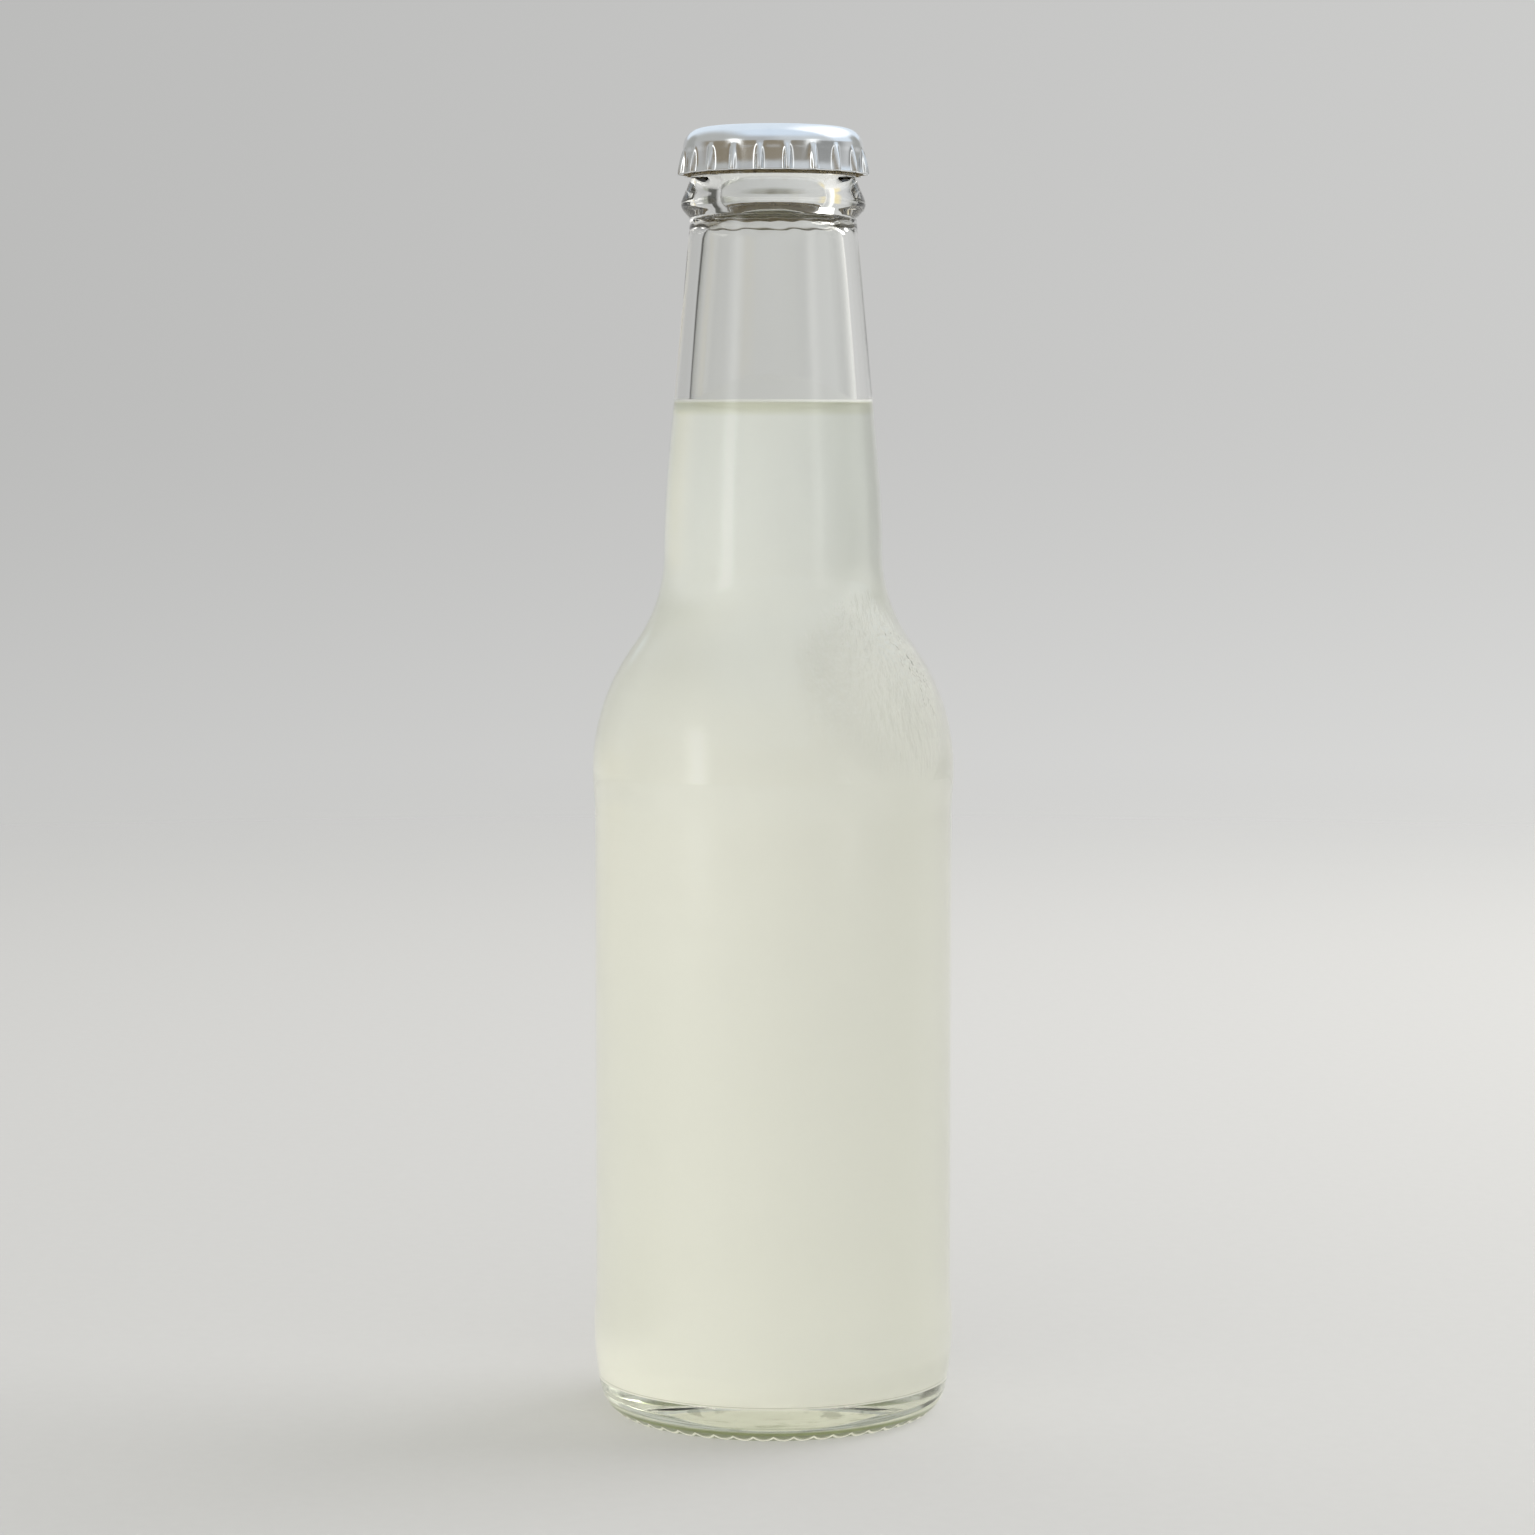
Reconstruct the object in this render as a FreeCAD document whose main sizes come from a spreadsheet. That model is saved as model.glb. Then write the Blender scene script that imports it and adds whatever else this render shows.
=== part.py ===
"""Small glass soda bottle with its drink, crown cap and cap liner.

Millimetres, +Z up.  The origin is the centre of the base, on the surface the bottle stands on.
Every outline is a half section on the XZ plane: a point is (radius from the axis, height).
"""
import FreeCAD
import Part
import Sketcher

import math
import os

V2 = FreeCAD.Vector
UP = FreeCAD.Vector(0, 0, 1)

SIZES = {
    # Base and heel
    "BearingInnerRadius": 20.5,   # flat ring that the bottle stands on, inner edge
    "BearingOuterRadius": 24.2,   # and its outer edge
    "PuntHeight": 3.2,            # hollow of the underside at the axis
    "HeelRadius": 5.5,            # rounding from the base into the wall
    "LowerWallRadius": 45.0,      # gentle bulge between heel and lower contact band
    # Body
    "BandRadius": 28.0,           # the two contact bands, the widest part
    "LowerBandHeight": 13.4,
    "BandBlendHeight": 6.5,       # from a band's crest to the straight wall
    "PanelRecess": 0.33,          # the straight wall lies this much inside the bands
    "UpperBandHeight": 100.05,
    # Shoulder and neck
    "ShoulderHeight": 33.82,      # from the upper band to the root of the neck
    "ShoulderRadius": 32.65,      # convex arc under the neck root's concave one
    "NeckRootRadius": 16.84,
    "NeckBendHeight": 6.4,        # height over which the root bends into the taper
    "NeckHeight": 51.1,           # from the neck root to the reinforcing ring
    "NeckTopRadius": 12.8,
    # Finish: reinforcing ring, throat, locking ring and lip
    "NeckFilletRadius": 0.8,
    "RingRadius": 14.2,
    "RingRise": 2.2,              # crest of the reinforcing ring above the neck's top
    "RingEdgeRadius": 1.8,
    "ThroatRadius": 12.7,
    "ThroatRise": 6.1,            # where the ring's slope meets the throat
    "ThroatLength": 1.4,
    "ThroatFilletRadius": 0.9,
    "LockingRadius": 13.3,        # bead that the cap is crimped under
    "LockingRise": 0.95,          # height of the bead's underside slope
    "LockingEdgeRadius": 0.6,
    "LockingLength": 4.3,         # from the bead's lower edge to the lip
    "LipCornerRadius": 2.1,
    # Glass thickness and bore
    "PanelWall": 2.16,
    "NeckWall": 2.4,
    "FloorThickness": 5.1,        # at the lowest ring of the inside
    "FloorRise": 1.9,             # the floor's middle above that ring
    "FloorCornerRadius": 5.2,
    "BoreNarrowDepth": 15.2,      # below the lip, where the bore starts to close in
    "BoreNarrowRadius": 3.6,
    "MouthDepth": 10.2,           # length of the straight mouth bore
    "MouthRadius": 8.2,
    "LipEdgeRadius": 1.0,
    # Drink
    "FillDepth": 42.5,            # flat surface of the drink below the lip
    "MeniscusRadius": 2.2,
    "MeniscusWidth": 2.1,         # ring at the wall where the surface curves up
    # Crown cap and liner
    "CapSteel": 0.24,
    "CapClearance": 0.05,         # between the flute bottoms and the bead
    "CapHeight": 7.1,
    "CapCornerRadius": 3.0,
    "CapCrownBulge": 0.31,        # the crown's shoulder outside the flute bottoms
    "SkirtFlare": 0.42,           # flute bottoms at the rim, outside their bead radius
    "FluteDepth": 0.8,            # flute tops over flute bottoms at the rim
    "RidgeHalfWidth": 0.46,       # of the round ridges between the flutes, at half depth
    "LinerThickness": 0.8,
    "LinerMembrane": 0.35,        # thin middle of the liner
    "LinerInnerRadius": 8.9,
    "LinerClearance": 0.05,       # between the liner and the cap's corner
    "Overshoot": 1.0,             # how far a cutting form runs past the face it opens
}
# Levels, radii and slopes that follow from the sizes above
DERIVED = {
    "NeckRootLevel": "=UpperBandHeight + ShoulderHeight",
    "NeckBendLevel": "=NeckRootLevel + NeckBendHeight",
    "NeckTopLevel": "=NeckRootLevel + NeckHeight",
    "RingLevel": "=NeckTopLevel + RingRise",
    "ThroatLevel": "=NeckTopLevel + ThroatRise",
    "BeadLevel": "=ThroatLevel + ThroatLength",
    "BeadEdgeLevel": "=BeadLevel + LockingRise",
    "LipLevel": "=BeadEdgeLevel + LockingLength",
    "RingAxis": "=RingRadius - RingEdgeRadius",
    "PanelRadius": "=BandRadius - PanelRecess",
    "PanelBottomLevel": "=LowerBandHeight + BandBlendHeight",
    "PanelTopLevel": "=UpperBandHeight - BandBlendHeight",
    "BoreRadius": "=PanelRadius - PanelWall",
    "BoreShoulderRadius": "=ShoulderRadius - BandRadius + BoreRadius",
    "FloorCornerLevel": "=FloorThickness + FloorCornerRadius",
    "FloorMiddleLevel": "=FloorThickness + FloorRise",
    "NeckBoreRoot": "=NeckRootRadius - NeckWall",
    "NeckBoreTop": "=NeckTopRadius - NeckWall",
    "NeckSlope": "=(NeckRootRadius - NeckTopRadius) / (NeckHeight - NeckBendHeight)",
    "BoreNarrowLevel": "=LipLevel - BoreNarrowDepth",
    "MouthLevel": "=LipLevel - MouthDepth",
    "LipEdgeLevel": "=LipLevel - LipEdgeRadius",
    "LipEdgeReach": "=MouthRadius + LipEdgeRadius",
    "AboveLipLevel": "=LipLevel + Overshoot",
    "FillLevel": "=LipLevel - FillDepth",
    "FillBoreRadius": "=NeckBoreRoot - (FillLevel - NeckBendLevel) * NeckSlope",
    "FillFlatRadius": "=FillBoreRadius - MeniscusWidth",
    "MeniscusReach": "=FillFlatRadius + MeniscusRadius",
    "MeniscusLevel": "=FillLevel + MeniscusRadius",
    "FillReach": "=BandRadius",
    "LinerTopLevel": "=LipLevel + LinerThickness",
    "CapTopLevel": "=LinerTopLevel + CapSteel",
    "CapRimLevel": "=CapTopLevel - CapHeight",
    "CapValleyRadius": "=LockingRadius + CapClearance + CapSteel",
    "CapCornerAxis": "=CapValleyRadius + CapCrownBulge - CapCornerRadius",
    "CapCornerLevel": "=CapTopLevel - CapCornerRadius",
    "LinerCornerRadius": "=CapCornerRadius - CapSteel - LinerClearance",
    "MembraneLevel": "=LinerTopLevel - LinerClearance - LinerMembrane",
}
FLUTES = 21
STEPS_PER_FLUTE = 16
FLUTE_PHASE = -90.0               # degrees: a flute bottom faces -Y
CORNER_SECTIONS = (0, 22.5, 45, 67.5)              # degrees round the crown's corner
SKIRT_SECTIONS = (0.0, 0.1, 0.2, 0.3, 0.5, 0.75, 1.0)   # shares of the skirt's height
FLUTE_RUN_IN = 0.3                                 # the share in which the flutes sink in
FLARE_START = 0.35                # share of the skirt where the flute bottoms turn outward

doc = FreeCAD.newDocument("soda_bottle")
sheet = doc.addObject("Spreadsheet::Sheet", "Sizes")
for row, (alias, content) in enumerate({**SIZES, **DERIVED}.items(), start=1):
    sheet.set(f"A{row}", alias)
    sheet.set(f"B{row}", str(content))
    sheet.setAlias(f"B{row}", alias)
doc.recompute()


def size(alias):
    """The number that the sheet holds under this name."""
    return float(sheet.get(alias))


def point(across, up):
    """The point at two of the sheet's sizes; 0 stands for the axis or the base plane."""
    return V2(size(across) if across else 0, size(up) if up else 0)


# ---------------------------------------------------------------- plane geometry

def tangent_point(point, centre, radius, side):
    """Where the line from point touches the circle; side +1 lies left of the way there."""
    way = centre - point
    reach = math.hypot(way.x, way.y)
    turn = math.asin(radius / reach) * side
    heading = math.atan2(way.y, way.x) + turn
    length = math.sqrt(reach ** 2 - radius ** 2)
    return point + V2(length * math.cos(heading), length * math.sin(heading))


def circle_meeting(first, first_reach, second, second_reach):
    """The upper one of the two points at these distances from two centres."""
    way = second - first
    apart = math.hypot(way.x, way.y)
    along = (first_reach ** 2 - second_reach ** 2 + apart ** 2) / (2 * apart)
    aside = math.sqrt(first_reach ** 2 - along ** 2)
    unit = V2(way.x / apart, way.y / apart)
    left = first + unit * along + V2(-unit.y, unit.x) * aside
    right = first + unit * along + V2(unit.y, -unit.x) * aside
    return left if left.y > right.y else right


def ogee(start, tilt, first_radius, end):
    """Two tangent arcs that bend inward, then back to vertical at the end point.

    tilt is the inward lean of the start from vertical, in radians.  Returns both centres and
    the point where the arcs meet.
    """
    first = start + V2(-math.cos(tilt), -math.sin(tilt)) * first_radius
    way = first - end
    reach = way.x ** 2 + way.y ** 2 - first_radius ** 2
    second_radius = reach / (2 * (first_radius + way.x))
    second = end + V2(second_radius, 0)
    share = first_radius / (first_radius + second_radius)
    return first, first + (second - first) * share, second


def rounded_corner(before, corner, after, radius):
    """Start, centre and end of the arc that rounds a corner between two lines."""
    to_before = (before - corner).normalize()
    to_after = (after - corner).normalize()
    half = to_before.getAngle(to_after) / 2
    reach = radius / math.tan(half)
    middle = (to_before + to_after).normalize() * (radius / math.sin(half))
    return corner + to_before * reach, corner + middle, corner + to_after * reach


# ---------------------------------------------------------------- sketched outlines

class Outline:
    """A closed half section in a sketch, drawn edge by edge, upward from the axis."""

    def __init__(self, body, name):
        self.body = body
        self.sketch = body.newObject("Sketcher::SketchObject", name)
        plane = [f for f in body.Origin.OriginFeatures if f.Role == "XZ_Plane"][0]
        self.sketch.AttachmentSupport = [(plane, "")]
        self.sketch.MapMode = "FlatFace"
        self.edges = []
        self.constraints = []
        self.bindings = []

    def path(self, start, *ways):
        """Draws a loop from way to way: an end point, or a centre and an end point."""
        spot = start
        for way in ways:
            if isinstance(way, tuple):
                centre, end = way
                self.arc(spot, centre, end)
            else:
                end = way
                self.line(spot, end)
            spot = end

    def line(self, start, end):
        index = self.sketch.addGeometry(Part.LineSegment(start, end), False)
        self.edges.append((index, 1, 2))

    def arc(self, start, centre, end):
        from_centre = start - centre
        to_centre = end - centre
        first = math.atan2(from_centre.y, from_centre.x)
        last = math.atan2(to_centre.y, to_centre.x)
        turns_left = from_centre.x * to_centre.y - from_centre.y * to_centre.x > 0
        if not turns_left:
            first, last = last, first
        circle = Part.Circle(centre, UP, from_centre.Length)
        index = self.sketch.addGeometry(Part.ArcOfCircle(circle, first, last), False)
        self.edges.append((index, 1, 2) if turns_left else (index, 2, 1))

    def start_of(self, edge):
        return self.edges[edge][0], self.edges[edge][1]

    def end_of(self, edge):
        return self.edges[edge][0], self.edges[edge][2]

    def centre_of(self, edge):
        return self.edges[edge][0], 3

    def constrain(self, *terms):
        self.constraints.append(Sketcher.Constraint(*terms))
        return len(self.constraints) - 1

    def bind(self, alias, *terms):
        self.bindings.append((self.constrain(*terms), alias))

    def smooth(self, *edges):
        """Each of these edges runs tangent into the one after it."""
        for edge in edges:
            self.constrain("Tangent", *self.end_of(edge), *self.start_of(edge + 1))

    def sharp(self, *edges):
        """Each of these edges meets the one after it, or the first, at a corner."""
        for edge in edges:
            follower = (edge + 1) % len(self.edges)
            self.constrain("Coincident", *self.end_of(edge), *self.start_of(follower))

    def place(self, spot, across=None, up=None):
        """Binds a vertex's radius and height; 0 puts it on the axis or the base plane."""
        if across == 0:
            self.constrain("PointOnObject", *spot, -2)
        elif across is not None:
            self.bind(across, "DistanceX", -1, 1, *spot, size(across))
        if up == 0:
            self.constrain("PointOnObject", *spot, -1)
        elif up is not None:
            self.bind(up, "DistanceY", -1, 1, *spot, size(up))

    def radius(self, edge, alias):
        self.bind(alias, "Radius", self.edges[edge][0], size(alias))

    def level(self, edge, spot):
        """The arc's centre is level with a vertex, so that the arc is vertical there."""
        self.constrain("Horizontal", *self.centre_of(edge), *spot)

    def passes(self, edge, across, up):
        """The edge's line runs through a reference point at a bound place."""
        index = self.sketch.addGeometry(Part.Point(point(across, up)), True)
        self.place((index, 1), across, up)
        self.constrain("PointOnObject", index, 1, self.edges[edge][0])
        return index

    def corner(self, edge, across, up, radius):
        """The arc rounds the corner, at a bound place, of the lines on both sides of it."""
        index = self.passes(edge - 1, across, up)
        self.constrain("PointOnObject", index, 1, self.edges[edge + 1][0])
        self.smooth(edge - 1, edge)
        self.radius(edge, radius)

    def finish(self):
        self.sketch.addConstraint(self.constraints)
        for index, alias in self.bindings:
            self.sketch.setExpression(f"Constraints[{index}]", f"Sizes.{alias}")
        doc.recompute()
        return self.sketch


def revolved(name, outline):
    """The solid that an outline sweeps round the axis."""
    sketch = outline.finish()
    turned = outline.body.newObject("PartDesign::Revolution", name)
    turned.Profile = sketch
    turned.ReferenceAxis = (sketch, ["V_Axis"])
    turned.Angle = 360
    outline.body.Tip = turned
    return turned


# ---------------------------------------------------------------- outside of the glass

glass_body = doc.addObject("PartDesign::Body", "GlassForm")
glass = Outline(glass_body, "GlassOutline")

punt_top = point(0, "PuntHeight")
bearing_in = point("BearingInnerRadius", 0)
bearing_out = point("BearingOuterRadius", 0)
punt_radius = (bearing_in.x ** 2 + punt_top.y ** 2) / (2 * punt_top.y)
low_crest = point("BandRadius", "LowerBandHeight")
low_wall_axis = low_crest - V2(size("LowerWallRadius"), 0)
heel_radius = size("HeelRadius")
heel_axis = circle_meeting(
    low_wall_axis, size("LowerWallRadius") - heel_radius, bearing_out, heel_radius
)
heel_end = heel_axis + (heel_axis - low_wall_axis).normalize() * heel_radius

panel_low = point("PanelRadius", "PanelBottomLevel")
panel_high = point("PanelRadius", "PanelTopLevel")
high_crest = point("BandRadius", "UpperBandHeight")
blend = V2(((low_crest - panel_low).Length ** 2) / (4 * size("PanelRecess")), 0)
neck_root = point("NeckRootRadius", "NeckRootLevel")
shoulder_axis, shoulder_end, root_axis = ogee(
    high_crest, 0, size("ShoulderRadius"), neck_root
)

neck_bend = point("NeckRootRadius", "NeckBendLevel")
neck_top = point("NeckTopRadius", "NeckTopLevel")
bend_reach = size("NeckBendHeight")
taper = math.atan(size("NeckSlope"))
bend_radius = bend_reach / math.tan(taper / 2)
taper_start = neck_bend + (neck_top - neck_bend).normalize() * bend_reach

ring_axis = point("RingAxis", "RingLevel")
ring_edge = size("RingEdgeRadius")
throat_low = point("ThroatRadius", "ThroatLevel")
throat_high = point("ThroatRadius", "BeadLevel")
bead_low = point("LockingRadius", "BeadEdgeLevel")
lip_outer = point("LockingRadius", "LipLevel")
lip_middle = point(0, "LipLevel")
ring_below = tangent_point(neck_top, ring_axis, ring_edge, -1)
ring_above = tangent_point(throat_low, ring_axis, ring_edge, 1)
throat_fillet = size("ThroatFilletRadius")
neck_round = rounded_corner(taper_start, neck_top, ring_below, size("NeckFilletRadius"))
low_round = rounded_corner(ring_above, throat_low, throat_high, throat_fillet)
high_round = rounded_corner(throat_low, throat_high, bead_low, throat_fillet)
bead_round = rounded_corner(throat_high, bead_low, lip_outer, size("LockingEdgeRadius"))
lip_round = rounded_corner(bead_low, lip_outer, lip_middle, size("LipCornerRadius"))

glass.path(
    punt_top,
    (punt_top - V2(0, punt_radius), bearing_in),      # 0 punt
    bearing_out,                                      # 1 bearing ring
    (heel_axis, heel_end),                            # 2 heel
    (low_wall_axis, low_crest),                       # 3 lower wall
    (low_crest - blend, (low_crest + panel_low) / 2),   # 4 lower band, into
    (panel_low + blend, panel_low),                   # 5 the straight wall
    panel_high,                                       # 6 straight wall
    (panel_high + blend, (panel_high + high_crest) / 2),  # 7 upper band,
    (high_crest - blend, high_crest),                 # 8 to its crest
    (shoulder_axis, shoulder_end),                    # 9 shoulder
    (root_axis, neck_root),                           # 10 root of the neck
    (neck_root - V2(bend_radius, 0), taper_start),    # 11 bend
    neck_round[0],                                    # 12 tapered neck
    neck_round[1:],                                   # 13 fillet
    ring_below,                                       # 14 underside of the ring
    (ring_axis, ring_above),                          # 15 ring's crest
    low_round[0],                                     # 16 slope above the ring
    low_round[1:],                                    # 17 fillet
    high_round[0],                                    # 18 throat
    high_round[1:],                                   # 19 fillet
    bead_round[0],                                    # 20 underside of the bead
    bead_round[1:],                                   # 21 bead's lower edge
    lip_round[0],                                     # 22 bead
    lip_round[1:],                                    # 23 lip's outer corner
    lip_middle,                                       # 24 top of the lip
    punt_top,                                         # 25 axis
)
glass.place(glass.start_of(0), 0, "PuntHeight")
glass.place(glass.centre_of(0), 0)
glass.place(glass.end_of(0), "BearingInnerRadius", 0)
glass.place(glass.end_of(1), "BearingOuterRadius", 0)
glass.radius(2, "HeelRadius")
glass.radius(3, "LowerWallRadius")
glass.level(3, glass.end_of(3))
glass.place(glass.end_of(3), "BandRadius", "LowerBandHeight")
glass.constrain("Equal", glass.edges[4][0], glass.edges[5][0])
glass.place(glass.start_of(6), "PanelRadius", "PanelBottomLevel")
glass.place(glass.end_of(6), "PanelRadius", "PanelTopLevel")
glass.constrain("Equal", glass.edges[7][0], glass.edges[8][0])
glass.place(glass.end_of(8), "BandRadius", "UpperBandHeight")
glass.level(8, glass.end_of(8))
glass.radius(9, "ShoulderRadius")
glass.place(glass.end_of(10), "NeckRootRadius", "NeckRootLevel")
glass.level(10, glass.end_of(10))
glass.passes(12, "NeckRootRadius", "NeckBendLevel")
glass.place(glass.centre_of(15), "RingAxis", "RingLevel")
glass.radius(15, "RingEdgeRadius")
glass.corner(13, "NeckTopRadius", "NeckTopLevel", "NeckFilletRadius")
glass.corner(17, "ThroatRadius", "ThroatLevel", "ThroatFilletRadius")
glass.corner(19, "ThroatRadius", "BeadLevel", "ThroatFilletRadius")
glass.corner(21, "LockingRadius", "BeadEdgeLevel", "LockingEdgeRadius")
glass.corner(23, "LockingRadius", "LipLevel", "LipCornerRadius")
glass.place(glass.end_of(24), 0, "LipLevel")
glass.smooth(2, 3, 4, 5, 6, 7, 8, 9, 10, 11, 14, 15)
glass.sharp(0, 1, 24, 25)
revolved("GlassSolid", glass)

# ---------------------------------------------------------------- inside of the glass

cavity_body = doc.addObject("PartDesign::Body", "CavityForm")
cavity = Outline(cavity_body, "CavityOutline")

floor_middle = point(0, "FloorMiddleLevel")
wall_low = point("BoreRadius", "FloorCornerLevel")
wall_high = point("BoreRadius", "UpperBandHeight")
floor_corner = size("FloorCornerRadius")
corner_axis = wall_low - V2(floor_corner, 0)
drop = corner_axis.y - floor_middle.y
floor_radius = (corner_axis.x ** 2 + drop ** 2 - floor_corner ** 2) / (2 * (floor_corner - drop))
floor_axis = floor_middle - V2(0, floor_radius)
floor_end = floor_axis + (corner_axis - floor_axis).normalize() * floor_radius
bore_root = point("NeckBoreRoot", "NeckRootLevel")
bore_shoulder_axis, bore_shoulder_end, bore_root_axis = ogee(
    wall_high, 0, size("BoreShoulderRadius"), bore_root
)
bore_bend = point("NeckBoreRoot", "NeckBendLevel")
bore_top = point("NeckBoreTop", "NeckTopLevel")
bore_taper_start = bore_bend + (bore_top - bore_bend).normalize() * bend_reach
narrow_share = (size("BoreNarrowLevel") - bore_bend.y) / (bore_top.y - bore_bend.y)
narrow_start = bore_bend + (bore_top - bore_bend) * narrow_share
mouth_low = point("MouthRadius", "MouthLevel")
narrow_axis, narrow_middle, mouth_axis = ogee(
    narrow_start, taper, size("BoreNarrowRadius"), mouth_low
)
lip_edge_low = point("MouthRadius", "LipEdgeLevel")
lip_edge_high = point("LipEdgeReach", "LipLevel")

cavity.path(
    floor_middle,
    (floor_axis, floor_end),                          # 0 floor
    (corner_axis, wall_low),                          # 1 corner
    wall_high,                                        # 2 wall
    (bore_shoulder_axis, bore_shoulder_end),          # 3 shoulder
    (bore_root_axis, bore_root),                      # 4 root of the neck
    (bore_root - V2(bend_radius, 0), bore_taper_start),   # 5 bend
    narrow_start,                                     # 6 tapered bore
    (narrow_axis, narrow_middle),                     # 7 bore closes in
    (mouth_axis, mouth_low),                          # 8 to the mouth
    lip_edge_low,                                     # 9 mouth
    (point("LipEdgeReach", "LipEdgeLevel"), lip_edge_high),   # 10 lip's inner edge
    point("LipEdgeReach", "AboveLipLevel"),           # 11 clear of the lip
    point(0, "AboveLipLevel"),                        # 12
    floor_middle,                                     # 13 axis
)
cavity.place(cavity.start_of(0), 0, "FloorMiddleLevel")
cavity.place(cavity.centre_of(0), 0)
cavity.radius(1, "FloorCornerRadius")
cavity.place(cavity.start_of(2), "BoreRadius", "FloorCornerLevel")
cavity.place(cavity.end_of(2), "BoreRadius", "UpperBandHeight")
cavity.radius(3, "BoreShoulderRadius")
cavity.place(cavity.end_of(4), "NeckBoreRoot", "NeckRootLevel")
cavity.level(4, cavity.end_of(4))
cavity.passes(6, "NeckBoreRoot", "NeckBendLevel")
cavity.passes(6, "NeckBoreTop", "NeckTopLevel")
cavity.place(cavity.end_of(6), None, "BoreNarrowLevel")
cavity.radius(7, "BoreNarrowRadius")
cavity.place(cavity.start_of(9), "MouthRadius", "MouthLevel")
cavity.place(cavity.end_of(9), "MouthRadius", "LipEdgeLevel")
cavity.place(cavity.start_of(11), "LipEdgeReach", "LipLevel")
cavity.place(cavity.end_of(11), "LipEdgeReach", "AboveLipLevel")
cavity.place(cavity.end_of(12), 0, "AboveLipLevel")
cavity.smooth(0, 1, 2, 3, 4, 5, 6, 7, 8, 9)
cavity.sharp(10, 11, 12, 13)
revolved("CavitySolid", cavity)

bottle_glass = doc.addObject("Part::Cut", "bottle_glass")
bottle_glass.Base = glass_body
bottle_glass.Tool = cavity_body

# ---------------------------------------------------------------- drink

# Everything under the drink's surface, which curves up where it meets the glass
fill_body = doc.addObject("PartDesign::Body", "FillForm")
fill = Outline(fill_body, "FillOutline")
fill.path(
    point(0, 0),
    point("FillReach", 0),                            # 0
    point("FillReach", "MeniscusLevel"),              # 1
    point("MeniscusReach", "MeniscusLevel"),          # 2
    (point("FillFlatRadius", "MeniscusLevel"), point("FillFlatRadius", "FillLevel")),   # 3
    point(0, "FillLevel"),                            # 4 flat surface
    point(0, 0),                                      # 5 axis
)
fill.place(fill.start_of(0), 0, 0)
fill.place(fill.end_of(0), "FillReach", 0)
fill.place(fill.end_of(1), "FillReach", "MeniscusLevel")
fill.place(fill.end_of(2), "MeniscusReach", "MeniscusLevel")
fill.place(fill.start_of(4), "FillFlatRadius", "FillLevel")
fill.place(fill.end_of(4), 0, "FillLevel")
fill.sharp(0, 1, 2, 4, 5)
fill.smooth(3)
revolved("FillSolid", fill)

drink = doc.addObject("Part::Common", "drink")
drink.Base = cavity_body
drink.Tool = fill_body

# ---------------------------------------------------------------- cap liner

liner_body = doc.addObject("PartDesign::Body", "cap_liner")
liner = Outline(liner_body, "LinerOutline")
cap_corner_axis = point("CapCornerAxis", "CapCornerLevel")
liner_rise = size("LipLevel") - cap_corner_axis.y
liner_reach = math.sqrt(size("LinerCornerRadius") ** 2 - liner_rise ** 2)
liner_outer = V2(cap_corner_axis.x + liner_reach, size("LipLevel"))
liner_top = cap_corner_axis + V2(0, size("LinerCornerRadius"))
liner.path(
    point(0, "MembraneLevel"),
    point("LinerInnerRadius", "MembraneLevel"),       # 0 underside of the membrane
    point("LinerInnerRadius", "LipLevel"),            # 1
    liner_outer,                                      # 2 seat on the lip
    (cap_corner_axis, liner_top),                     # 3 inside the cap's corner
    V2(0, liner_top.y),                               # 4 top
    point(0, "MembraneLevel"),                        # 5 axis
)
liner.place(liner.start_of(0), 0, "MembraneLevel")
liner.place(liner.end_of(0), "LinerInnerRadius", "MembraneLevel")
liner.place(liner.end_of(1), "LinerInnerRadius", "LipLevel")
liner.place(liner.end_of(2), None, "LipLevel")
liner.place(liner.centre_of(3), "CapCornerAxis", "CapCornerLevel")
liner.radius(3, "LinerCornerRadius")
liner.constrain("Horizontal", liner.edges[4][0])
liner.place(liner.end_of(4), 0)
liner.sharp(0, 1, 2, 4, 5)
liner.smooth(3)
revolved("LinerSolid", liner)

# ---------------------------------------------------------------- crown cap

CAP_STEEL = size("CapSteel")
CAP_VALLEY = size("CapValleyRadius")
CAP_CORNER = size("CapCornerRadius")
SKIRT_HEIGHT = cap_corner_axis.y - size("CapRimLevel")
CROWN_RADIUS = cap_corner_axis.x + CAP_CORNER
RIDGE_HALF_WIDTH = size("RidgeHalfWidth")


def flute_bottom(share):
    """Radius of the flute bottoms at this share of the skirt, 0 at the crown and 1 at the rim.

    The flutes sink in smoothly below the crown's corner.
    """
    sunk = min(1.0, share / FLUTE_RUN_IN)
    sunk = sunk ** 2 * (3 - 2 * sunk)
    turned_out = max(0.0, (share - FLARE_START) / (1 - FLARE_START))
    valley = CROWN_RADIUS - (CROWN_RADIUS - CAP_VALLEY) * sunk
    return valley + size("SkirtFlare") * turned_out ** 2


def flute_top(share):
    """Radius of the ridges between the flutes, which swell out quickly under the crown."""
    rim = CAP_VALLEY + size("SkirtFlare") + size("FluteDepth")
    return rim - (rim - CROWN_RADIUS) * max(0.0, 1 - share) ** 1.5


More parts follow.
